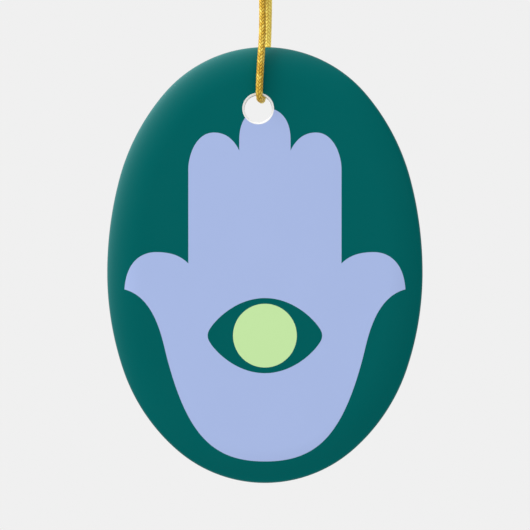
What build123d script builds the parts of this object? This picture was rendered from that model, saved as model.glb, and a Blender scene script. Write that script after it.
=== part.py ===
from build123d import *
import os
from math import cos, pi, radians, sin, sqrt, tan

os.makedirs("parts", exist_ok=True)

# A porcelain disc with a printed hamsa, hung on a doubled cord.
# Lengths are in millimetres and angles in degrees. The printed front faces -Y and +Z is up.
# The origin is the top of the cord's loop, right under its knot, where a hook or twig carries it.

# Disc: an oval of tangent arcs, three to a quadrant, with its widest row below the middle
half_width = 27.5
top_height = 39.3
bottom_height = 36.7
top_end_share = 0.84
bottom_end_share = 0.849
top_angles = (49.7, 75.3)
bottom_angles = (41.3, 71.5)
disc_thickness = 4.0

# Rim: a pillowed edge on both faces, a bevel that a large radius blends away and a small one ends
bevel_width = 3.2
bevel_depth = 1.15
blend_radius = 15.0
nose_radius = 0.95

# Print: a thin fired layer, flush in the front, that wraps the rim
print_thickness = 0.15
print_wrap = 1.9

# Cord hole, a little left of the centre line, with a rounded lip that stays unprinted
hole_diameter = 4.8
hole_drop = 10.8
hole_shift = 1.17
lip_radius = 0.3
lip_flat = 0.05

# Cord: one tight length, from the knot down the front, through the hole and up the back
cord_diameter = 1.1
cord_clearance = 0.2
hang_drop = 13.0
disc_shift = 0.12
strand_spacing = 1.14
pair_length = 2.0
release_drop = 2.4
release_front_shift = 0.74
release_back_shift = 0.5
bight_front_shift = 0.2
bight_back_shift = 0.75
run_share = 0.45

# Knot: both ends tied together, with two short ends left standing
knot_height = 4.4
knot_foot_radius = 1.25
knot_waist_radius = 1.6
wrap_radius = 1.45
wrap_places_share = (0.3, 0.55, 0.74)
wrap_tilts = (16, 16, -22)
tail_length = 6.5
tail_tilt = 14

# Hand: its right half from the heel up, as curves through shares of the disc's sizes. Across is a
# share of the half width; up is a share of the top height, or below zero of the bottom height.
# Each row gives the rest of one curve's control points, or the far end of a straight stretch.
hand_start_share = (0, -0.895)
hand_curve_shares = (
    ((0.327, -0.895), (0.488, -0.774), (0.618, -0.407)),
    ((0.646, -0.328), (0.688, -0.118), (0.888, -0.080)),
    ((0.881, 0.022), (0.811, 0.090), (0.687, 0.090)),
    ((0.584, 0.090), (0.528, 0.070), (0.484, 0.040)),
    ((0.484, 0.457),),
    ((0.484, 0.516), (0.437, 0.619), (0.322, 0.619)),
    ((0.247, 0.619), (0.196, 0.588), (0.162, 0.539)),
    ((0.162, 0.586),),
    ((0.162, 0.706), (0.056, 0.729), (0, 0.729)),
)

# Eye: a quarter of its almond in the same shares, from its top to its corner, and its iris, which
# is a share of the almond's half height
eye_top_share = -0.121
eye_middle_share = -0.299
eye_curve_shares = (
    ((0.190, eye_top_share), (0.327, -0.234), (0.354, -0.275)),
    ((0.362, -0.287), (0.362, -0.297), (0.362, eye_middle_share)),
)
iris_share = 0.848

# Places worked out from the sizes above
right_angle = 90
cord_radius = cord_diameter / 2
hole_radius = hole_diameter / 2
lip_outer_radius = hole_radius + lip_radius + lip_flat
disc_x = -disc_shift
disc_z = -hang_drop - top_height
hole_x = disc_x - hole_shift
hole_z = -hang_drop - hole_drop


def face_plane(depth):
    """Plane seen from the front, centred on the disc's widest row, this deep behind the front face."""
    return Plane(origin=(disc_x, depth - disc_thickness / 2, disc_z), x_dir=(1, 0, 0), z_dir=(0, -1, 0))


def oval_face(depth, inset):
    """The disc's oval, drawn in by the inset.

    In each quadrant the end, shoulder and side arcs share tangents where they meet. The end arc's
    radius is given, and the other two follow from the width and height that the arcs must span.
    """
    with BuildSketch(face_plane(depth)) as oval:
        with BuildLine():
            quadrants = (
                (1, top_height, top_end_share, top_angles),
                (-1, bottom_height, bottom_end_share, bottom_angles),
            )
            for up, height, end_share, (end_angle, shoulder_angle) in quadrants:
                first = radians(end_angle)
                second = radians(shoulder_angle)
                end_radius = end_share * half_width
                across = half_width - end_radius * sin(first)
                along = height - end_radius * (1 - cos(first))
                shoulder_across = sin(second) - sin(first)
                shoulder_along = cos(first) - cos(second)
                side_across = 1 - sin(second)
                side_along = cos(second)
                scale = shoulder_across * side_along - side_across * shoulder_along
                shoulder_radius = (across * side_along - side_across * along) / scale
                side_radius = (shoulder_across * along - shoulder_along * across) / scale
                end_centre = Vector(0, up * (height - end_radius))
                shoulder_step = end_radius - shoulder_radius
                shoulder_centre = end_centre + Vector(sin(first), up * cos(first)) * shoulder_step
                side_centre = Vector(half_width - side_radius, 0)
                end_start = up * right_angle
                shoulder_start = up * (right_angle - end_angle)
                side_start = up * (right_angle - shoulder_angle)
                CenterArc(end_centre, end_radius - inset, end_start, shoulder_start - end_start)
                CenterArc(
                    shoulder_centre,
                    shoulder_radius - inset,
                    shoulder_start,
                    side_start - shoulder_start,
                )
                CenterArc(side_centre, side_radius - inset, side_start, -side_start)
            mirror(about=Plane.YZ)
        make_face()
    return oval.sketch


def hole_face(depth, radius):
    """A circle on the cord hole's axis."""
    with BuildSketch(face_plane(depth)) as circle:
        with Locations((-hole_shift, top_height - hole_drop)):
            Circle(radius)
    return circle.sketch


def disc_point(shares):
    """A point of the printed figure, from its shares of the disc's sizes."""
    across, up = shares
    return Vector(across * half_width, up * (top_height if up > 0 else bottom_height))


def draw_curves(start_share, curve_shares):
    """Draws curves and straight stretches end to end, a row of shares for each."""
    start = disc_point(start_share)
    for row in curve_shares:
        points = [disc_point(shares) for shares in row]
        if len(points) == 1:
            Line(start, points[0])
        else:
            Bezier(start, *points)
        start = points[-1]


def hand_face(depth):
    """The hand: three fingers between two short outward thumbs, the same on both sides."""
    with BuildSketch(face_plane(depth)) as hand:
        with BuildLine():
            draw_curves(hand_start_share, hand_curve_shares)
            mirror(about=Plane.YZ)
        make_face()
    return hand.sketch


def eye_face(depth):
    """The eye's almond, with softly pointed corners, the same in all four quarters."""
    middle = disc_point((0, eye_middle_share))
    with BuildSketch(face_plane(depth)) as almond:
        with BuildLine():
            draw_curves((0, eye_top_share), eye_curve_shares)
            mirror(about=Plane.YZ)
            mirror(about=Plane(origin=middle, z_dir=(0, 1, 0)))
        make_face()
    return almond.sketch


def iris_face(depth):
    """The iris, a circle at the almond's middle."""
    middle = disc_point((0, eye_middle_share))
    top = disc_point((0, eye_top_share))
    with BuildSketch(face_plane(depth)) as iris:
        with Locations(middle):
            Circle(iris_share * (top - middle).length)
    return iris.sketch


def soften_rim(block, front, inset):
    """Bevels one face's rim, then rounds the bevel's outer edge and blends its inner one."""
    face = block.faces().sort_by(Axis.Y)[0 if front else -1]
    chamfer(face.edges(), bevel_width, bevel_depth, reference=face)
    rows = block.edges().filter_by(GeomType.CIRCLE).group_by(Axis.Y)
    fillet(rows[1 if front else -2], nose_radius - inset)
    face = block.faces().sort_by(Axis.Y)[0 if front else -1]
    fillet(face.edges(), blend_radius - inset)


# Disc: the front is drawn in by the print's thickness, down to the step where the print ends
with BuildPart() as ceramic_disc:
    extrude(oval_face(disc_thickness, 0), amount=disc_thickness - print_wrap)
    soften_rim(ceramic_disc, False, 0)
    extrude(oval_face(print_wrap, print_thickness), amount=print_wrap - print_thickness)
    soften_rim(ceramic_disc, True, print_thickness)
    extrude(hole_face(print_wrap, lip_outer_radius), amount=print_wrap)
    extrude(hole_face(disc_thickness, hole_radius), amount=disc_thickness, mode=Mode.SUBTRACT)
    bore = ceramic_disc.faces().filter_by(GeomType.CYLINDER).sort_by(SortBy.RADIUS)[0]
    fillet(bore.edges().filter_by(GeomType.CIRCLE), lip_radius)

# Printed layer: what is left in front of the drawn-in face, open round the hole's lip
with BuildPart() as print_coat:
    extrude(oval_face(print_wrap, 0), amount=print_wrap)
    soften_rim(print_coat, True, 0)
    extrude(hole_face(print_wrap, lip_outer_radius), amount=print_wrap, mode=Mode.SUBTRACT)
    add(ceramic_disc.part, mode=Mode.SUBTRACT)

# Ground colour: the whole layer round the hand
with BuildPart() as ground_print:
    add(print_coat.part)
    extrude(hand_face(print_wrap), amount=print_wrap, mode=Mode.SUBTRACT)

# Hand colour: the layer inside the hand, open where the eye is
with BuildPart() as hand_print:
    add(print_coat.part)
    extrude(hand_face(print_wrap), amount=print_wrap, mode=Mode.INTERSECT)
    extrude(eye_face(print_wrap), amount=print_wrap, mode=Mode.SUBTRACT)

# Eye colour: the almond round the iris
with BuildPart() as eye_print:
    add(print_coat.part)
    extrude(eye_face(print_wrap), amount=print_wrap, mode=Mode.INTERSECT)
    extrude(iris_face(print_wrap), amount=print_wrap, mode=Mode.SUBTRACT)

# Iris colour: the circle in the almond
with BuildPart() as iris_print:
    add(print_coat.part)
    extrude(iris_face(print_wrap), amount=print_wrap, mode=Mode.INTERSECT)

# Cord route: the bight hangs the disc from the hole's upper wall and leans right towards the back
strand_depth = disc_thickness / 2 + cord_clearance + cord_radius
bight_reach = hole_radius - cord_clearance - cord_radius
bight_front_z = hole_z + sqrt(bight_reach**2 - bight_front_shift**2)
bight_back_z = hole_z + sqrt(bight_reach**2 - bight_back_shift**2)
release_z = -hang_drop - release_drop
cord_points = [
    Vector(-strand_spacing / 2, 0, 0),
    Vector(-strand_spacing / 2, 0, -pair_length),
    Vector(-release_front_shift, -strand_depth, release_z),
    Vector(hole_x + bight_front_shift, -strand_depth, bight_front_z),
    Vector(hole_x + bight_back_shift, strand_depth, bight_back_z),
    Vector(release_back_shift, strand_depth, release_z),
    Vector(strand_spacing / 2, 0, -pair_length),
    Vector(strand_spacing / 2, 0, 0),
]

# Cord bends: tight round the hole's lip, and as wide as the runs allow everywhere else
lip_bend = lip_radius + cord_clearance + cord_radius
bend_radii = []
for before, corner, after in zip(cord_points, cord_points[1:], cord_points[2:]):
    shorter_run = min((corner - before).length, (after - corner).length)
    turn = (corner - before).get_angle(after - corner)
    bend_radii.append(run_share * shorter_run / tan(radians(turn / 2)))
bend_radii[2] = lip_bend
bend_radii[3] = lip_bend

with BuildPart() as hanging_cord:
    with BuildLine() as cord_route:
        FilletPolyline(*cord_points, radius=bend_radii)
    with BuildSketch(Plane(origin=cord_route.line @ 0, z_dir=cord_route.line % 0)):
        Circle(cord_radius)
    sweep()

# Knot: a waisted core with three slanted wraps, flat underneath where the strands enter
with BuildPart() as cord_knot:
    with BuildSketch(Plane.XZ):
        with BuildLine():
            Line((0, 0), (knot_foot_radius, 0))
            waist = (knot_waist_radius, knot_height / 2)
            ThreePointArc((knot_foot_radius, 0), waist, (knot_foot_radius, knot_height))
            Line((knot_foot_radius, knot_height), (0, knot_height))
            Line((0, knot_height), (0, 0))
        make_face()
    revolve(axis=Axis.Z)
    for place_share, tilt in zip(wrap_places_share, wrap_tilts):
        with Locations(Location((0, 0, place_share * knot_height), (0, tilt, 0))):
            Torus(wrap_radius, cord_radius)
    for side in (-1, 1):
        root = Vector(side * strand_spacing / 2, 0, knot_height - cord_radius)
        lean = Vector(side * sin(radians(tail_tilt)), 0, cos(radians(tail_tilt)))
        with BuildSketch(Plane(origin=root, z_dir=lean)):
            Circle(cord_radius)
        extrude(amount=tail_length)

pieces = {
    "ceramic_disc": ceramic_disc,
    "ground_print": ground_print,
    "hand_print": hand_print,
    "eye_print": eye_print,
    "iris_print": iris_print,
    "hanging_cord": hanging_cord,
    "cord_knot": cord_knot,
}
for name, piece in pieces.items():
    piece.part.label = name
    export_step(piece.part, f"parts/{name}.step")

# Printed facts: the cord's bends and volume, and the swing's axis at the middle of the bight
pivot = (cord_points[3] + cord_points[4]) / 2
cord_length = cord_route.wires()[0].length
cord_volume = pi * cord_radius**2 * cord_length
print("cord bend radii", [round(radius, 2) for radius in bend_radii])
print("cord length", round(cord_length, 2))
print("cord volume", round(hanging_cord.part.volume, 3), "section times length", round(cord_volume, 3))
print("swing axis at", [round(value, 3) for value in pivot])
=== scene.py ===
import math
import bmesh
import bpy
import numpy as np
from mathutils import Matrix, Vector, geometry


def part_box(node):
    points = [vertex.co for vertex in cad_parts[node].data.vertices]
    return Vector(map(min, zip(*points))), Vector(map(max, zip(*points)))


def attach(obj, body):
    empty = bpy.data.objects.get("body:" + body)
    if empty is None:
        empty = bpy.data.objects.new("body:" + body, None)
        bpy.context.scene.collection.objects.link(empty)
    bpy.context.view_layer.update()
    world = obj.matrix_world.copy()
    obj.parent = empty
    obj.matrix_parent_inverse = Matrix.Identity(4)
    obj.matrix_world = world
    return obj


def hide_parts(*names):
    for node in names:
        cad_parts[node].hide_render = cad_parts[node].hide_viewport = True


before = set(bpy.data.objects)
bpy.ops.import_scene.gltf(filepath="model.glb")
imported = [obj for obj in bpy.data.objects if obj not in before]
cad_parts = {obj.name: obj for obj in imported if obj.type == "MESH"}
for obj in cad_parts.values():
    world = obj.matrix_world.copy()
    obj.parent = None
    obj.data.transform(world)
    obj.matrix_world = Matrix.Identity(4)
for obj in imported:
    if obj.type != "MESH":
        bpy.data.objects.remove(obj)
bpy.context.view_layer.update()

scene = bpy.context.scene

# Porcelain disc. The real one is a pressed oval of white porcelain, 4 mm thick, pillowed at the rim
# on both faces, with one small drilled hole whose lip the clear glaze rounds. Its front is sunk by
# the thickness of the printed layers, apart from the bare lip of the hole, which comes up flush.
HALF_WIDTH = 0.0275
TOP_HEIGHT = 0.0393
BOTTOM_HEIGHT = 0.0367
DISC_THICKNESS = 0.004
PRINT_THICKNESS = 0.00015
PRINT_WRAP = 0.0019
PILLOW_WIDTH = 0.006
END_SHARE = {"top": 0.84, "bottom": 0.849}
END_ANGLE = {"top": math.radians(49.7), "bottom": math.radians(41.3)}
SHOULDER_ANGLE = {"top": math.radians(75.3), "bottom": math.radians(71.5)}
HOLE_SHIFT = 0.00117
HOLE_DROP = 0.0108
HOLE_RADIUS = 0.0024
LIP_RADIUS = 0.0003
LIP_OUTER_RADIUS = 0.00275

# How finely its mesh is made: steps round the rim, the hole and the lip's quarter round, rows of the
# rim's band, and the rings just inside that band that keep the face's net even there.
RIM_STEPS = 600
HOLE_STEPS = 96
LIP_STEPS = 9
BAND_ROWS = 26
NET_INSET = 0.0028
NET_RINGS = 12
RING_STEP = 0.0003
NET_TOLERANCE = 1e-8
MERGE_REACH = 2e-6
SLIVER_REACH = 1e-7
SHARP_ANGLE = math.radians(35)

# Its glaze. Noise scales are waves per metre, and heights are in metres.
PORCELAIN_WHITE = (0.865, 0.865, 0.85)
GLAZE_IOR = 1.5
GLAZE_ROUGHNESS = 0.09
ROUGHNESS_DRIFT = 0.03
TONE_DRIFT = 0.015
DRIFT_SCALE = 90
DRIFT_DETAIL = 3
PEEL_SCALE = 420
PEEL_DETAIL = 1
PEEL_STRENGTH = 0.5
PEEL_HEIGHT = 0.000008
# The painted light from above on the teal ground fades to none this far under the disc's middle.
LIFT_FOOT = BOTTOM_HEIGHT / 4

rim_low, rim_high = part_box("ground_print")
disc_x = (rim_low.x + rim_high.x) / 2
disc_z = rim_high.z - TOP_HEIGHT
front_y = rim_low.y
hole_x = -HOLE_SHIFT
hole_z = TOP_HEIGHT - HOLE_DROP


def quadrant_arcs(side, height):
    """Centres and radii of a quadrant's end, shoulder and side arcs.

    The end arc's radius is a share of the half width. The other two radii are what makes the three
    arcs, which share tangents where they meet, span the half width and this height.
    """
    first, second = END_ANGLE[side], SHOULDER_ANGLE[side]
    end_radius = END_SHARE[side] * HALF_WIDTH
    spans = np.array([
        [math.sin(second) - math.sin(first), 1 - math.sin(second)],
        [math.cos(first) - math.cos(second), math.cos(second)],
    ])
    wanted = [
        HALF_WIDTH - end_radius * math.sin(first),
        height - end_radius * (1 - math.cos(first)),
    ]
    shoulder_radius, side_radius = np.linalg.solve(spans, wanted)
    step = end_radius - shoulder_radius
    centres = np.array([
        [0, height - end_radius],
        [math.sin(first) * step, height - end_radius + math.cos(first) * step],
        [HALF_WIDTH - side_radius, 0],
    ])
    return centres, np.array([end_radius, shoulder_radius, side_radius])


arcs = {
    "top": quadrant_arcs("top", TOP_HEIGHT),
    "bottom": quadrant_arcs("bottom", BOTTOM_HEIGHT),
}


def oval(turns, inset):
    """Points of the oval drawn in by inset: arc centre plus, along the normal, arc radius less inset.

    A turn is the angle of the rim's outward normal, clockwise from straight up.
    """
    across, up = np.sin(turns), np.cos(turns)
    lean = np.arccos(np.clip(np.abs(up), 0, 1))
    points = np.zeros((*np.broadcast(turns, inset).shape, 2))
    for side, sign in (("top", 1), ("bottom", -1)):
        centres, radii = arcs[side]
        arc = (lean > END_ANGLE[side]).astype(int) + (lean > SHOULDER_ANGLE[side])
        reach = radii[arc] - inset
        half = np.stack([
            np.sign(across) * centres[arc, 0] + reach * across,
            sign * centres[arc, 1] + reach * up,
        ], -1)
        points = np.where(((up >= 0) == (sign > 0))[..., None], half, points)
    return points


def rim_distance(points):
    """How far points lie inside the rim: arc radius less the distance to that arc's centre."""
    distance = np.zeros(len(points))
    rows = np.arange(len(points))
    for side, sign in (("top", 1), ("bottom", -1)):
        centres, radii = arcs[side]
        offsets = np.abs(points)[:, None, :] - centres
        lean = np.arctan2(offsets[..., 0], offsets[..., 1])
        end_or_shoulder = np.where(lean[:, 0] <= END_ANGLE[side], 0, 1)
        arc = np.where(lean[:, 2] >= SHOULDER_ANGLE[side], 2, end_or_shoulder)
        here = radii[arc] - np.hypot(*offsets[rows, arc].T)
        distance = np.where((points[:, 1] >= 0) == (sign > 0), here, distance)
    return distance


def pillow(distance, fall):
    """Fall of the face near the rim: a quarter ellipse, PILLOW_WIDTH wide and fall deep."""
    share = np.clip(1 - distance / PILLOW_WIDTH, 0, 1)
    return fall * (1 - np.sqrt(1 - share**2))


def circle(centre_x, centre_z, radius, count):
    """Points of a circle in the face's plan, or of one circle for each radius of a column."""
    angles = np.linspace(0, 2 * np.pi, count, endpoint=False)
    return np.stack([centre_x + radius * np.cos(angles), centre_z + radius * np.sin(angles)], -1)


def flat_net(lines):
    """Points and triangles of a plan of the face whose edges follow every one of these closed lines."""
    points = [Vector(point) for line in lines for point in line.tolist()]
    edges = []
    start = 0
    for line in lines:
        count = len(line)
        edges += [(start + i, start + (i + 1) % count) for i in range(count)]
        start += count
    net = geometry.delaunay_2d_cdt(points, edges, [], 0, NET_TOLERANCE, False)
    return np.array([tuple(point) for point in net[0]]), np.array([tuple(face) for face in net[2]])


def inside(points, loop):
    """Whether points lie in a closed loop: an upward line from each crosses it an odd number of times."""
    ahead = np.roll(loop, -1, 0)
    spans = (loop[:, 0] > points[:, :1]) != (ahead[:, 0] > points[:, :1])
    run = np.where(ahead[:, 0] == loop[:, 0], 1, ahead[:, 0] - loop[:, 0])
    height = loop[:, 1] + (ahead[:, 1] - loop[:, 1]) / run * (points[:, :1] - loop[:, 0])
    return (spans & (height > points[:, 1:])).sum(1) % 2 == 1


def grid_quads(rows, columns):
    """Quads of a grid whose columns close on themselves, row after row."""
    row, column = np.meshgrid(np.arange(rows - 1), np.arange(columns), indexing="ij")
    beside = (column + 1) % columns
    quads = [
        row * columns + column,
        row * columns + beside,
        (row + 1) * columns + beside,
        (row + 1) * columns + column,
    ]
    return np.stack(quads, -1).reshape(-1, 4)


def solid_mesh(name, sheets):
    """One closed mesh of several sheets, joined where they meet, smooth apart from its real edges."""
    points = []
    faces = []
    for sheet_points, sheet_faces in sheets:
        start = len(points)
        points += sheet_points.reshape(-1, 3).tolist()
        faces += (sheet_faces + start).tolist()
    mesh = bpy.data.meshes.new(name)
    mesh.from_pydata(points, [], faces)
    shell = bmesh.new()
    shell.from_mesh(mesh)
    bmesh.ops.remove_doubles(shell, verts=shell.verts, dist=MERGE_REACH)
    bmesh.ops.dissolve_degenerate(shell, edges=shell.edges, dist=SLIVER_REACH)
    bmesh.ops.recalc_face_normals(shell, faces=shell.faces)
    shell.to_mesh(mesh)
    shell.free()
    mesh.polygons.foreach_set("use_smooth", np.ones(len(mesh.polygons), bool))
    mesh.set_sharp_from_angle(angle=SHARP_ANGLE)
    piece = bpy.data.objects.new(name, mesh)
    scene.collection.objects.link(piece)
    return piece


def in_place(plan, behind):
    """Plan points set behind the front face by this much, in the frame."""
    depth = np.broadcast_to(front_y + behind, plan.shape[:-1])
    return np.stack([disc_x + plan[..., 0], depth, disc_z + plan[..., 1]], -1)


rim_turns = np.linspace(0, 2 * np.pi, RIM_STEPS, endpoint=False)
net_rings = [oval(rim_turns, NET_INSET + RING_STEP * i) for i in range(NET_RINGS)]
hole_loop = circle(hole_x, hole_z, LIP_OUTER_RADIUS, HOLE_STEPS)


def face_sheets(plan, triangles, fall, start, way):
    """The net and the rim's band of one face: the plan bent back by the pillow.

    start is how far the face lies behind the front, and way is 1 for the front and -1 for the back.
    The band's rows lie at even angles of the pillow's quarter ellipse.
    """
    net = in_place(plan, start + way * pillow(rim_distance(plan), fall))
    band_angles = np.linspace(np.arcsin(1 - NET_INSET / PILLOW_WIDTH), np.pi / 2, BAND_ROWS)
    distance = PILLOW_WIDTH * (1 - np.sin(band_angles)[:, None])
    band = in_place(oval(rim_turns[None, :], distance), start + way * pillow(distance, fall))
    return [(net, triangles), (band, grid_quads(*band.shape[:2]))]


porcelain_plan, porcelain_net = flat_net([hole_loop, *net_rings])
over_hole = inside(porcelain_plan[porcelain_net].mean(1), hole_loop)
porcelain_net = porcelain_net[~over_hole]
front_fall = PRINT_WRAP - PRINT_THICKNESS
back_fall = DISC_THICKNESS - PRINT_WRAP
front_sheets = face_sheets(porcelain_plan, porcelain_net, front_fall, PRINT_THICKNESS, 1)
back_sheets = face_sheets(porcelain_plan, porcelain_net, back_fall, DISC_THICKNESS, -1)

# Bore and lips: a profile of a sunk ring, a quarter round, the bore and a quarter round, spun about
# the hole's axis.
quarter = np.linspace(0, np.pi / 2, LIP_STEPS)
lip_reach = HOLE_RADIUS + LIP_RADIUS * (1 - np.sin(quarter))
lip_depth = LIP_RADIUS * (1 - np.cos(quarter))
profile_reach = np.concatenate([
    [LIP_OUTER_RADIUS, LIP_OUTER_RADIUS], lip_reach, lip_reach[::-1], [LIP_OUTER_RADIUS],
])
profile_depth = np.concatenate([
    [PRINT_THICKNESS, 0], lip_depth, DISC_THICKNESS - lip_depth[::-1], [DISC_THICKNESS],
])
bore_plan = circle(hole_x, hole_z, profile_reach[:, None], HOLE_STEPS)
bore = in_place(bore_plan, profile_depth[:, None])
bore_sheet = (bore, grid_quads(*bore.shape[:2]))
porcelain = solid_mesh("porcelain_disc", [*front_sheets, *back_sheets, bore_sheet])


def new_material(name):
    """A new material, its node tree and its shader."""
    material = bpy.data.materials.new(name)
    material.use_nodes = True
    return material, material.node_tree, material.node_tree.nodes["Principled BSDF"]


def feed(tree, value, socket):
    """Link another node's output to a socket, or set the socket to a fixed value."""
    if isinstance(value, bpy.types.NodeSocket):
        tree.links.new(value, socket)
    else:
        socket.default_value = value


def maths(tree, operation, *values):
    """The result of one operation on outputs or fixed values."""
    node = tree.nodes.new("ShaderNodeMath")
    node.operation = operation
    for value, socket in zip(values, node.inputs):
        feed(tree, value, socket)
    return node.outputs["Value"]


def mapped(tree, value, low, high, span=(0.0, 1.0), smooth=False):
    """A value carried from its span to the range from low to high, evenly or by a smooth step."""
    node = tree.nodes.new("ShaderNodeMapRange")
    node.interpolation_type = "SMOOTHSTEP" if smooth else "LINEAR"
    node.inputs["From Min"].default_value = span[0]
    node.inputs["From Max"].default_value = span[1]
    node.inputs["To Min"].default_value = low
    node.inputs["To Max"].default_value = high
    tree.links.new(value, node.inputs["Value"])
    return node.outputs["Result"]


def piece_coordinates(tree):
    """The piece's own coordinates, as an output."""
    return tree.nodes.new("ShaderNodeTexCoord").outputs["Object"]


def piece_noise(tree, scale, detail):
    """Noise over the piece's own coordinates."""
    noise = tree.nodes.new("ShaderNodeTexNoise")
    noise.inputs["Scale"].default_value = scale
    noise.inputs["Detail"].default_value = detail
    tree.links.new(piece_coordinates(tree), noise.inputs["Vector"])
    return noise.outputs["Fac"]


def bumped(tree, height, strength, distance, under=None):
    """The surface's normal tilted by a height, over another such normal where one is given."""
    bump = tree.nodes.new("ShaderNodeBump")
    bump.inputs["Strength"].default_value = strength
    bump.inputs["Distance"].default_value = distance
    tree.links.new(height, bump.inputs["Height"])
    if under is not None:
        tree.links.new(under, bump.inputs["Normal"])
    return bump.outputs["Normal"]


def glaze_material(name, colour, painted_top_light=0.0):
    """Fired glaze: a faint drift of tone, a soft uneven gloss and a very shallow orange peel.

    The last argument paints light from above: it is how much lighter, as a share, the colour is at
    the top of the face. This painted light grows evenly from none at a quarter of the bottom height
    under the middle.
    """
    material, tree, shader = new_material(name)
    shader.inputs["IOR"].default_value = GLAZE_IOR
    drift = piece_noise(tree, DRIFT_SCALE, DRIFT_DETAIL)
    tone = mapped(tree, drift, 1.0 - TONE_DRIFT, 1.0 + TONE_DRIFT)
    # Painted light from above: the colour is made evenly lighter towards the top of the face.
    place = tree.nodes.new("ShaderNodeSeparateXYZ")
    tree.links.new(piece_coordinates(tree), place.inputs[0])
    face_span = (disc_z - LIFT_FOOT, disc_z + TOP_HEIGHT)
    painted_light = mapped(tree, place.outputs["Z"], 1.0, 1.0 + painted_top_light, face_span)
    base = tree.nodes.new("ShaderNodeVectorMath")
    base.operation = "SCALE"
    base.inputs[0].default_value = colour
    tree.links.new(maths(tree, "MULTIPLY", tone, painted_light), base.inputs["Scale"])
    tree.links.new(base.outputs["Vector"], shader.inputs["Base Color"])
    smoothest = GLAZE_ROUGHNESS - ROUGHNESS_DRIFT
    roughest = GLAZE_ROUGHNESS + ROUGHNESS_DRIFT
    tree.links.new(mapped(tree, drift, smoothest, roughest), shader.inputs["Roughness"])
    peel = piece_noise(tree, PEEL_SCALE, PEEL_DETAIL)
    tree.links.new(bumped(tree, peel, PEEL_STRENGTH, PEEL_HEIGHT), shader.inputs["Normal"])
    return material


porcelain.data.materials.append(glaze_material("white_porcelain", PORCELAIN_WHITE))
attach(porcelain, "ornament")
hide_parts("ceramic_disc")

# Printed colours. Four flat inks are fired into the front: the teal ground, which wraps the rim, the
# lilac hand, the teal almond of the eye and its pale green iris. Each lies flush with the next. The
# outlines are in shares of the half width and of the height above or below the disc's middle.
HAND_START = (0, -0.895)
HAND_CURVES = (
    ((0.327, -0.895), (0.488, -0.774), (0.618, -0.407)),
    ((0.646, -0.328), (0.688, -0.118), (0.888, -0.080)),
    ((0.881, 0.022), (0.811, 0.090), (0.687, 0.090)),
    ((0.584, 0.090), (0.528, 0.070), (0.484, 0.040)),
    ((0.484, 0.457),),
    ((0.484, 0.516), (0.437, 0.619), (0.322, 0.619)),
    ((0.247, 0.619), (0.196, 0.588), (0.162, 0.539)),
    ((0.162, 0.586),),
    ((0.162, 0.706), (0.056, 0.729), (0, 0.729)),
)
EYE_TOP = -0.121
EYE_MIDDLE = -0.299
EYE_CURVES = (
    ((0.190, EYE_TOP), (0.327, -0.234), (0.354, -0.275)),
    ((0.362, -0.287), (0.362, -0.297), (0.362, EYE_MIDDLE)),
)
IRIS_SHARE = 0.848
CURVE_STEPS = 32
STRAIGHT_STEPS = 8
IRIS_STEPS = 128
TEAL = (0.0004, 0.109, 0.106)
# The teal ground is painted lighter towards its top, as painted light from above.
TEAL_PAINTED_TOP_LIGHT = 0.09
LILAC = (0.386, 0.479, 0.768)
EYE_TEAL = (0.0003, 0.107, 0.104)
PALE_GREEN = (0.546, 0.791, 0.371)


def face_point(across, up):
    """A point of the face's plan from its shares of the half width and of the height above or below."""
    return across * HALF_WIDTH, up * (TOP_HEIGHT if up > 0 else BOTTOM_HEIGHT)


def drawn_curve(start, curves):
    """Points along curves drawn end to end, each given by its control points after the last one's end.

    Each curve is a Bezier: its control points weighted by the Bernstein polynomials of its degree.
    """
    line = [np.array([face_point(*start)])]
    for row in curves:
        controls = np.array([line[-1][-1], *(face_point(*place) for place in row)])
        degree = len(row)
        steps = np.linspace(0, 1, (CURVE_STEPS if degree > 1 else STRAIGHT_STEPS) + 1)[1:, None]
        line.append(sum(
            math.comb(degree, k) * steps**k * (1 - steps)**(degree - k) * controls[k]
            for k in range(degree + 1)
        ))
    return np.vstack(line)


def mirrored(line, axis, about=0.0):
    """A line and then its mirror image, run backwards without its first point."""
    image = line[::-1].copy()
    image[:, axis] = 2 * about - image[:, axis]
    return np.vstack([line, image[1:]])


hand_loop = mirrored(drawn_curve(HAND_START, HAND_CURVES), 0)[:-1]
eye_middle_z = EYE_MIDDLE * BOTTOM_HEIGHT
eye_half = mirrored(drawn_curve((0, EYE_TOP), EYE_CURVES), 1, eye_middle_z)
eye_loop = mirrored(eye_half, 0)[:-1]
iris_radius = IRIS_SHARE * (EYE_TOP - EYE_MIDDLE) * BOTTOM_HEIGHT
iris_loop = circle(0, eye_middle_z, iris_radius, IRIS_STEPS)

plan, net = flat_net([hole_loop, hand_loop, eye_loop, iris_loop, *net_rings])
middles = plan[net].mean(1)
in_iris = inside(middles, iris_loop)
in_eye = inside(middles, eye_loop)
in_hand = inside(middles, hand_loop)
on_face = ~inside(middles, hole_loop)
regions = {
    "ground": on_face & ~in_hand,
    "hand": on_face & in_hand & ~in_eye,
    "eye": in_eye & ~in_iris,
    "iris": in_iris,
}


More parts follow.
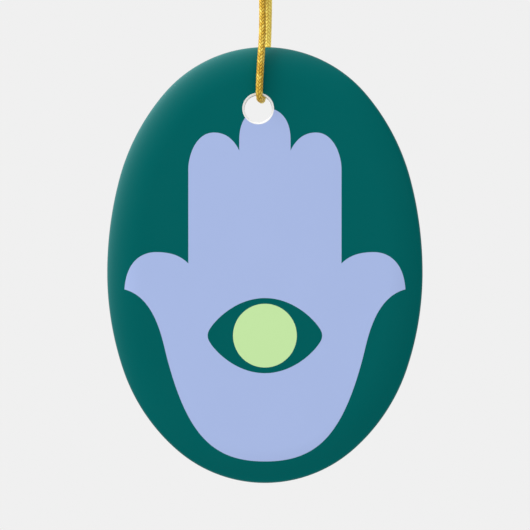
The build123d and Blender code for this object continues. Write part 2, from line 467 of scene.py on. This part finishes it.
def printed_layer(name, triangles, with_rim):
    """A thin closed layer of print: an outer sheet, the same sheet set in by its thickness, and walls.

    Walls stand along the edges that only one triangle has. The ground's outermost ring has none,
    because the rim's band goes on from it to the lip, which closes the layer.
    """
    count = 2 if with_rim else 1
    outer = face_sheets(plan, triangles, PRINT_WRAP, 0, 1)[:count]
    inner = face_sheets(plan, triangles, front_fall, PRINT_THICKNESS, 1)[:count]
    sides = np.concatenate([triangles[:, [0, 1]], triangles[:, [1, 2]], triangles[:, [2, 0]]])
    edges, uses = np.unique(np.sort(sides, 1), axis=0, return_counts=True)
    edges = edges[uses == 1]
    if with_rim:
        edges = edges[rim_distance(plan[edges].mean(1)) > NET_INSET + RING_STEP / 10]
    under = edges + len(plan)
    walls = np.stack([edges[:, 0], edges[:, 1], under[:, 1], under[:, 0]], -1)
    sheets = [*outer, *inner, (np.vstack([outer[0][0], inner[0][0]]), walls)]
    if with_rim:
        lip = np.stack([outer[1][0][-1], inner[1][0][-1]])
        sheets.append((lip, grid_quads(2, RIM_STEPS)))
    return solid_mesh(name, sheets)


prints = {
    "ground": ("ground_print", "teal_glaze", TEAL, TEAL_PAINTED_TOP_LIGHT),
    "hand": ("hand_print", "lilac_glaze", LILAC, 0.0),
    "eye": ("eye_print", "eye_glaze", EYE_TEAL, 0.0),
    "iris": ("iris_print", "green_glaze", PALE_GREEN, 0.0),
}
for region, (node, slot, colour, painted_top_light) in prints.items():
    layer = printed_layer(f"{region}_glaze", net[regions[region]], region == "ground")
    layer.data.materials.append(glaze_material(slot, colour, painted_top_light))
    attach(layer, "ornament")
    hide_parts(node)

# Cord. One length of braided metallic cord, 1.1 mm thick, comes down the front, goes through the
# hole from the left and leans right up the back. The disc's weight holds it taut. Its route follows
# the CAD's, with five points more along it.
CORD_DIAMETER = 0.0011
CORD_ROUTE = (
    (-0.00055, 0.0, 0.0),
    (-0.00055, 0.0, -0.002),
    (-0.00048, -0.00164, -0.01),
    (-0.00083, -0.00275, -0.0154),
    (-0.00106, -0.0028, -0.01936),
    (-0.00112, -0.00286, -0.02214),
    (-0.00083, 0.0, -0.02218),
    (-0.00057, 0.00284, -0.02226),
    (-0.00028, 0.00275, -0.01953),
    (0.0002, 0.00275, -0.0154),
    (0.00046, 0.00164, -0.01),
    (0.00055, 0.0, -0.002),
    (0.00055, 0.0, 0.0),
)
ROUTE_STEPS = 64

# Its braid. Eight yarns wind each way, one turn in each pitch. A yarn's foot lies at a share of the
# cord's radius and its crest rises by another share. In the hole the cord is squeezed thinner.
YARNS = 8
BRAID_PITCH = 0.0048
BRAID_COLUMNS = 64
ROW_SPACING = 0.000045
FOOT_SHARE = 0.99
RISE_SHARE = 0.18
FLOAT_ROUNDNESS = 0.4
BIGHT_SQUEEZE = 0.16
BIGHT_REACH = 0.0029
FIRST_SET_SEEDS = (7.31, 3.17)
OTHER_SET_SEEDS = (5.77, -9.43)
SHADE_SEEDS = (12.9898, 43758.5453)
YARN_SHARP_ANGLE = math.radians(65)
CUT_END_VALUES = {"height": 0.6, "shade": 0.2, "across": 0.5}

# Its gold. The stitches of the strand in front are painted darker, a painted shade, and those of
# the one behind paler, a painted light, and five filaments run along each yarn.
FRONT_PAINTED_SHADE = -0.38
BACK_PAINTED_LIGHT = 0.6
# Crest colours: each stitch is painted somewhere between them at random, a painted glint of the metal.
CREST_AMBER = (0.74, 0.46, 0.045, 1)
CREST_LEMON = (1.0, 0.85, 0.2, 1)
# Gap colours: painted shade where a yarn sinks between the others.
SHADED_GAP_BROWN = (0.22, 0.1, 0.004, 1)
SHADED_GAP_AMBER = (0.7, 0.46, 0.05, 1)
GAP_TO_CREST = (0.3, 0.75)
FILAMENTS = 5
GROOVE_DEPTH = 0.22
METAL_SHARE = 0.1
YARN_SPECULAR = 0.25
YARN_ROUGHNESS = 0.34
GLITTER_SCALE = 5200
GLITTER_DETAIL = 1
GLITTER_STRENGTH = 0.6
GLITTER_HEIGHT = 0.00006
RIB_STRENGTH = 0.5
RIB_HEIGHT = 0.000012


def route_points(name, route, steps):
    """Points along the smooth open spline that a list of control points pulls."""
    curve = bpy.data.curves.new(name, "CURVE")
    curve.dimensions = "3D"
    curve.resolution_u = steps
    spline = curve.splines.new("NURBS")
    spline.points.add(len(route) - 1)
    for point, place in zip(spline.points, route):
        point.co = (*place, 1)
    spline.order_u = 3
    spline.use_endpoint_u = True
    holder = bpy.data.objects.new(name, curve)
    line = bpy.data.meshes.new_from_object(holder)
    points = np.zeros(len(line.vertices) * 3)
    line.vertices.foreach_get("co", points)
    bpy.data.objects.remove(holder)
    bpy.data.meshes.remove(line)
    bpy.data.curves.remove(curve)
    return points.reshape(-1, 3)


def spaced(points, spacing):
    """The same line at even spacing, and each new point's place along its length."""
    lengths = np.concatenate([[0], np.cumsum(np.linalg.norm(np.diff(points, axis=0), axis=1))])
    places = np.linspace(0, lengths[-1], int(lengths[-1] / spacing) + 1)
    line = np.stack([np.interp(places, lengths, points[:, axis]) for axis in range(3)], -1)
    return line, places


def carried_frames(line, first_across):
    """Two directions across a line at each point, turned no more than the line itself turns.

    The first is the one before it, less its part along the line, made one long again. The second is
    square to that one and to the line.
    """
    along = np.gradient(line, axis=0)
    along /= np.linalg.norm(along, axis=1)[:, None]
    across = np.zeros_like(along)
    across[0] = first_across - along[0] * (along[0] @ first_across)
    across[0] /= np.linalg.norm(across[0])
    for i in range(1, len(line)):
        kept = across[i - 1] - along[i] * (across[i - 1] @ along[i])
        across[i] = kept / np.linalg.norm(kept)
    return across, np.cross(along, across)


def braid_pattern(angles, turns, way):
    """Height, shade and place across its yarn of each point of a braid's surface.

    Two sets of yarns wind round the line, one each way, each over two of the other set and under the
    next two: the cell of yarns i and j shows the first where i + j, counted in fours, is 0 or 1. Its
    height is a rounded ridge across the yarn on top, raised most at the middle of its float. Each
    float's shade is a hash of its yarn and of its round, the count of fours: a painted glint, which
    makes some floats brighter than others at random.
    """
    first = way * YARNS * (angles + turns)
    other = way * YARNS * (angles - turns)
    first_yarn = np.floor(first)
    other_yarn = np.floor(other)
    phase = (first_yarn + other_yarn) % 4
    over = phase < 2
    across = np.where(over, first % 1, other % 1)
    along = np.where(over, phase + other % 1, phase - 2 + first % 1) / 2
    height = np.sqrt(np.sin(np.pi * across)) * np.sin(np.pi * along) ** FLOAT_ROUNDNESS
    fours = np.floor((first_yarn + other_yarn) / 4)
    cell = np.where(
        over,
        first_yarn * FIRST_SET_SEEDS[0] + fours * FIRST_SET_SEEDS[1],
        other_yarn * OTHER_SET_SEEDS[0] + fours * OTHER_SET_SEEDS[1],
    )
    shade = np.abs(np.sin(cell * SHADE_SEEDS[0]) * SHADE_SEEDS[1]) % 1
    return height, shade, across


def braided_cord(points, first_across, spacing, painted_lights, squeeze=0.0, first_place=0.0, way=1):
    """A braided cord's line, directions, surface and yarn values, in rows this far apart.

    The surface stands off the line by the cord's radius, raised by the yarns' height, and less by
    the squeeze, a bell-shaped share round the line's middle. The fourth argument holds two values of
    painted light, added to the shades of the line's two halves; a value below zero is painted shade.
    The braid starts at first_place of its own length, and is followed backwards where way is -1.
    """
    line, places = spaced(points, spacing)
    side, up = carried_frames(line, np.array(first_across))
    places = places[:, None]
    length = places[-1, 0]
    angles = np.arange(BRAID_COLUMNS) / BRAID_COLUMNS
    height, shade, across = braid_pattern(angles[None, :], (first_place + places) / BRAID_PITCH, way)
    # Painted shade or painted light for each half of the line, added to the stitches' shades.
    painted_light = np.where(places / length > 0.5, painted_lights[1], painted_lights[0])
    thinner = squeeze * np.exp(-((places - length / 2) / BIGHT_REACH) ** 2)
    reach = CORD_DIAMETER / 2 * (FOOT_SHARE + RISE_SHARE * height) * (1 - thinner)
    turn = 2 * np.pi * angles[None, :, None]
    outward = np.cos(turn) * side[:, None, :] + np.sin(turn) * up[:, None, :]
    return {
        "line": line,
        "side": side,
        "length": length,
        "surface": line[:, None, :] + reach[..., None] * outward,
        "height": height,
        "shade": np.clip(shade + painted_light, 0, 1),
        "across": across,
    }


def braid_mesh(name, cords):
    """One mesh of several braided cords, each closed at both ends, with its yarn values on its points."""
    points = []
    faces = []
    yarn_values = {key: [] for key in CUT_END_VALUES}
    start = 0
    for braid in cords:
        rows, columns = braid["surface"].shape[:2]
        points += [braid["surface"].reshape(-1, 3), braid["line"][[0, -1]]]
        hub = start + rows * columns
        last = hub - columns
        ring = np.arange(columns)
        ahead = (ring + 1) % columns
        faces += (grid_quads(rows, columns) + start).tolist()
        faces += np.stack([start + ahead, start + ring, np.full(columns, hub)], -1).tolist()
        faces += np.stack([last + ring, last + ahead, np.full(columns, hub + 1)], -1).tolist()
        for key, end_value in CUT_END_VALUES.items():
            yarn_values[key] += [braid[key].ravel(), [end_value, end_value]]
        start = hub + 2
    mesh = bpy.data.meshes.new(name)
    mesh.from_pydata(np.vstack(points).tolist(), [], faces)
    mesh.polygons.foreach_set("use_smooth", np.ones(len(mesh.polygons), bool))
    mesh.set_sharp_from_angle(angle=YARN_SHARP_ANGLE)
    for key, values in yarn_values.items():
        layer = mesh.attributes.new(f"yarn_{key}", "FLOAT", "POINT")
        layer.data.foreach_set("value", np.concatenate(values).astype(np.float32))
    piece = bpy.data.objects.new(name, mesh)
    scene.collection.objects.link(piece)
    return piece


def yarn_value(tree, key):
    """One of the yarn values on a braid's points, as an output."""
    value = tree.nodes.new("ShaderNodeAttribute")
    value.attribute_name = f"yarn_{key}"
    return value.outputs["Fac"]


def mixed(tree, kind, share, first, second):
    """A mix of two colours or two numbers, outputs or fixed, by the second one's share."""
    node = tree.nodes.new("ShaderNodeMix")
    node.data_type = kind
    tree.links.new(share, node.inputs["Factor"])
    feed(tree, first, node.inputs["A"])
    feed(tree, second, node.inputs["B"])
    return node.outputs["Result"]


def gold_braid_material():
    """Metal-coated yarn: pale gold crests, amber gaps, a fine glitter, and painted light in its colour.

    The gaps between yarns and the grooves between a yarn's filaments are painted darker as painted
    shade, and each stitch is painted brighter or darker at random as a painted glint. The grooves
    are a cosine of the place across the yarn.
    """
    material, tree, shader = new_material("gold_cord")
    shader.inputs["Metallic"].default_value = METAL_SHARE
    shader.inputs["Specular IOR Level"].default_value = YARN_SPECULAR
    shader.inputs["Roughness"].default_value = YARN_ROUGHNESS
    shade = yarn_value(tree, "shade")
    crest = mixed(tree, "RGBA", shade, CREST_AMBER, CREST_LEMON)
    painted_gap_shade = mixed(tree, "RGBA", shade, SHADED_GAP_BROWN, SHADED_GAP_AMBER)
    rise = mapped(tree, yarn_value(tree, "height"), 0.0, 1.0, GAP_TO_CREST, smooth=True)
    wave = maths(tree, "MULTIPLY", yarn_value(tree, "across"), 2 * math.pi * FILAMENTS)
    groove = mapped(tree, maths(tree, "COSINE", wave), 1.0, 1.0 - GROOVE_DEPTH, (-1.0, 1.0))
    # Painted shade: the colour falls from the crest's to the gap's as the yarn sinks, and in the grooves
    # between filaments.
    colour = mixed(tree, "RGBA", maths(tree, "MULTIPLY", rise, groove), painted_gap_shade, crest)
    tree.links.new(colour, shader.inputs["Base Color"])
    glitter = piece_noise(tree, GLITTER_SCALE, GLITTER_DETAIL)
    glitter = bumped(tree, glitter, GLITTER_STRENGTH, GLITTER_HEIGHT)
    ribs = bumped(tree, groove, RIB_STRENGTH, RIB_HEIGHT, under=glitter)
    tree.links.new(ribs, shader.inputs["Normal"])
    return material


gold_braid = gold_braid_material()
cord_line = route_points("cord_route", CORD_ROUTE, ROUTE_STEPS)
# The front strand is painted darker and the back one paler: painted shade and painted light.
cord_painted_lights = (FRONT_PAINTED_SHADE, BACK_PAINTED_LIGHT)
cord_braid = braided_cord(cord_line, (1, 0, 0), ROW_SPACING, cord_painted_lights, squeeze=BIGHT_SQUEEZE)
cord = braid_mesh("gold_cord", [cord_braid])
cord.data.materials.append(gold_braid)
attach(cord, "cord")
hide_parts("hanging_cord")

# Knot. The cord's two ends are tied together right above the loop: they rise side by side, turn down
# round themselves once, tuck up through the middle and leave two short ends. The points are those of
# the right-hand end, whose turn lies lower, and the left-hand end has them with x the other way.
KNOT_RISE = ((0.00055, 0, 0), (0.0005, 0, 0.0008), (0.0004, 0.0001, 0.0022))
KNOT_CROWN = (0.0005, 0.0003, 0.0003)
KNOT_TUCK = ((-0.0002, 0.0006, 0.001), (0, 0.0002, 0.0022), (0.0004, 0, 0.0036))
KNOT_TAIL = ((0.0009, 0, 0.0055), (0.0016, 0, 0.0079), (0.00214, 0, 0.0101))
KNOT_RADIUS = 0.00145
KNOT_TOP = 0.0037
RIGHT_TURN_DROP = 0.00105
WRAP_PITCH = 0.0021
WRAP_START = 60
WRAP_TURN = 400
WRAP_POINTS = 13
KNOT_STEPS = 24
KNOT_ROW_SPACING = 0.00006


def knot_route(side):
    """Control points of one end, -1 left or 1 right: a rise, a falling turn round the core, the tail.

    The turn is a helix: KNOT_RADIUS from the core and falling by WRAP_PITCH a turn from its top.
    """
    top = KNOT_TOP - (RIGHT_TURN_DROP if side > 0 else 0.0)
    crown_x, crown_y, crown_rise = KNOT_CROWN
    angles = np.radians(np.linspace(WRAP_START, WRAP_START + WRAP_TURN, WRAP_POINTS))
    heights = top - WRAP_PITCH * (angles - angles[0]) / (2 * np.pi)
    wrap = np.stack([KNOT_RADIUS * np.cos(angles), KNOT_RADIUS * np.sin(angles), heights], -1)
    rise = [*KNOT_RISE, (crown_x, crown_y, top + crown_rise)]
    before = [(side * x, y, z) for x, y, z in rise]
    after = [(side * x, y, z) for x, y, z in (*KNOT_TUCK, *KNOT_TAIL)]
    return [*before, *wrap.tolist(), *after]


# Each end of the loop's braid runs on into the knot, the left one followed backwards.
left_line = route_points("knot_route", knot_route(-1), KNOT_STEPS)
right_line = route_points("knot_route", knot_route(1), KNOT_STEPS)
# The knot's ends carry on the painted shade of the front strand and the painted light of the back one.
left_painted_lights = (FRONT_PAINTED_SHADE, FRONT_PAINTED_SHADE)
right_painted_lights = (BACK_PAINTED_LIGHT, BACK_PAINTED_LIGHT)
knot_cords = [
    braided_cord(left_line, cord_braid["side"][0], KNOT_ROW_SPACING, left_painted_lights, way=-1),
    braided_cord(
        right_line, cord_braid["side"][-1], KNOT_ROW_SPACING, right_painted_lights,
        first_place=cord_braid["length"],
    ),
]
knot = braid_mesh("cord_knot_wraps", knot_cords)
knot.data.materials.append(gold_braid)
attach(knot, "cord")
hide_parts("cord_knot")

# Studio. A pale surround with even light from all sides, a little less from behind, and one broad
# soft lamp square to the view, which grazes the face from the upper left. Reflections see a soft
# glow on that side and behind the ornament, and dark in front, as the lens side of a studio is.
SURROUND = 0.871
EVEN_LIGHT = 0.885
BACK_LIGHT = 0.76
BACK_LIGHT_SPAN = (0.0, 0.7)
RIM_GLOSS = 1.5
RIM_GLOSS_WAY = (-0.66, 0.0, 0.751)
RIM_GLOSS_FALLOFF = 2.2
RIM_GLOSS_TILT_FALLOFF = 0.3
BACK_GLOSS = 0.35
BACK_GLOSS_SPAN = (-0.1, 0.6)
RIM_WINDOW_WAY = (-0.62, -0.08, 0.781)
RIM_WINDOW_DISTANCE = 0.95
RIM_WINDOW_SIZE = 0.55
RIM_WINDOW_POWER = 11.6
world = bpy.data.worlds.new("pale_studio")
scene.world = world
world.use_nodes = True
world.cycles.sampling_method = "NONE"
tree = world.node_tree
tree.nodes.clear()
rays = tree.nodes.new("ShaderNodeLightPath")
direction = tree.nodes.new("ShaderNodeTexCoord").outputs["Generated"]

# The glow at the rim: how far a direction points the glow's way, to a power, times how far it points
# aside from the view, to another.
facing = tree.nodes.new("ShaderNodeVectorMath")
facing.operation = "DOT_PRODUCT"
facing.inputs[1].default_value = RIM_GLOSS_WAY
tree.links.new(direction, facing.inputs[0])
glow = maths(tree, "MAXIMUM", facing.outputs["Value"], 0.0)
glow = maths(tree, "POWER", glow, RIM_GLOSS_FALLOFF)
glow = maths(tree, "MULTIPLY", glow, RIM_GLOSS)
split = tree.nodes.new("ShaderNodeSeparateXYZ")
tree.links.new(direction, split.inputs[0])
depth = split.outputs["Y"]
aside = maths(tree, "SUBTRACT", 1.0, maths(tree, "MULTIPLY", depth, depth))
glow = maths(tree, "MULTIPLY", glow, maths(tree, "POWER", aside, RIM_GLOSS_TILT_FALLOFF))
glow = maths(tree, "ADD", glow, mapped(tree, depth, 0.0, BACK_GLOSS, BACK_GLOSS_SPAN, smooth=True))
even = mapped(tree, depth, EVEN_LIGHT, BACK_LIGHT, BACK_LIGHT_SPAN, smooth=True)
lit = mixed(tree, "FLOAT", rays.outputs["Is Glossy Ray"], even, glow)
shown = mixed(tree, "FLOAT", rays.outputs["Is Camera Ray"], lit, SURROUND)
background = tree.nodes.new("ShaderNodeBackground")
background.inputs["Color"].default_value = (1, 1, 1, 1)
tree.links.new(shown, background.inputs["Strength"])
world_output = tree.nodes.new("ShaderNodeOutputWorld")
tree.links.new(background.outputs[0], world_output.inputs["Surface"])

window_data = bpy.data.lights.new("rim_window", "AREA")
window_data.size = RIM_WINDOW_SIZE
window_data.energy = RIM_WINDOW_POWER
window = bpy.data.objects.new("rim_window", window_data)
scene.collection.objects.link(window)
window_way = Vector(RIM_WINDOW_WAY)
window.location = Vector((disc_x, 0, disc_z)) + window_way * RIM_WINDOW_DISTANCE
window.rotation_euler = (-window_way).to_track_quat("-Z", "Y").to_euler()
window.visible_camera = False
window.visible_glossy = False

# Floor. A pale matt sheet a little under the ornament, clear when it is seen from below. It bounces
# light at one tone, and shows itself to the camera at another with a glow, to match the surround.
FLOOR_DROP = 0.25
FLOOR_REACH = 3.0
FLOOR_BOUNCE = (0.74, 0.74, 0.74, 1)
FLOOR_SHOWN = (0.3, 0.3, 0.3, 1)
FLOOR_GLOW = 0.41
floor_mesh = bpy.data.meshes.new("pale_floor")
floor_z = rim_low.z - FLOOR_DROP
corners = [(-1, -1), (1, -1), (1, 1), (-1, 1)]
floor_points = [(x * FLOOR_REACH, y * FLOOR_REACH, floor_z) for x, y in corners]
floor_mesh.from_pydata(floor_points, [], [(0, 1, 2, 3)])
floor = bpy.data.objects.new("pale_floor", floor_mesh)
scene.collection.objects.link(floor)
floor_material, tree, floor_shader = new_material("pale_floor")
to_camera = tree.nodes.new("ShaderNodeLightPath").outputs["Is Camera Ray"]
floor_tone = mixed(tree, "RGBA", to_camera, FLOOR_BOUNCE, FLOOR_SHOWN)
tree.links.new(floor_tone, floor_shader.inputs["Base Color"])
floor_shader.inputs["Roughness"].default_value = 1.0
floor_shader.inputs["Specular IOR Level"].default_value = 0.0
floor_shader.inputs["Emission Color"].default_value = (1, 1, 1, 1)
floor_glow = maths(tree, "MULTIPLY", to_camera, FLOOR_GLOW)
tree.links.new(floor_glow, floor_shader.inputs["Emission Strength"])
floor_side = tree.nodes.new("ShaderNodeNewGeometry")
see_through = tree.nodes.new("ShaderNodeBsdfTransparent")
one_sided = tree.nodes.new("ShaderNodeMixShader")
tree.links.new(floor_side.outputs["Backfacing"], one_sided.inputs[0])
tree.links.new(floor_shader.outputs[0], one_sided.inputs[1])
tree.links.new(see_through.outputs[0], one_sided.inputs[2])
tree.links.new(one_sided.outputs[0], tree.nodes["Material Output"].inputs["Surface"])
floor_mesh.materials.append(floor_material)
floor.visible_glossy = False

# Camera. The photograph looks straight at the printed front. Its frame is 530 pixels square, the
# disc is 315.4 of them across, its top is at row 47.1, and the cord's line is at column 265.6.
PHOTO_PIXELS = 530
DISC_PIXELS = 315.4
CORD_COLUMN = 265.6
DISC_TOP_ROW = 47.1
CAMERA_DISTANCE = 0.6
SENSOR_WIDTH = 36
metres_per_pixel = 2 * HALF_WIDTH / DISC_PIXELS
camera_data = bpy.data.cameras.new("photo_camera")
camera_data.sensor_width = SENSOR_WIDTH
camera_data.lens = SENSOR_WIDTH * CAMERA_DISTANCE / (PHOTO_PIXELS * metres_per_pixel)
camera = bpy.data.objects.new("photo_camera", camera_data)
scene.collection.objects.link(camera)
camera.location = (
    (PHOTO_PIXELS / 2 - CORD_COLUMN) * metres_per_pixel,
    -CAMERA_DISTANCE,
    rim_high.z - (PHOTO_PIXELS / 2 - DISC_TOP_ROW) * metres_per_pixel,
)
camera.rotation_euler = (math.pi / 2, 0, 0)
scene.camera = camera
scene.view_settings.view_transform = "Standard"
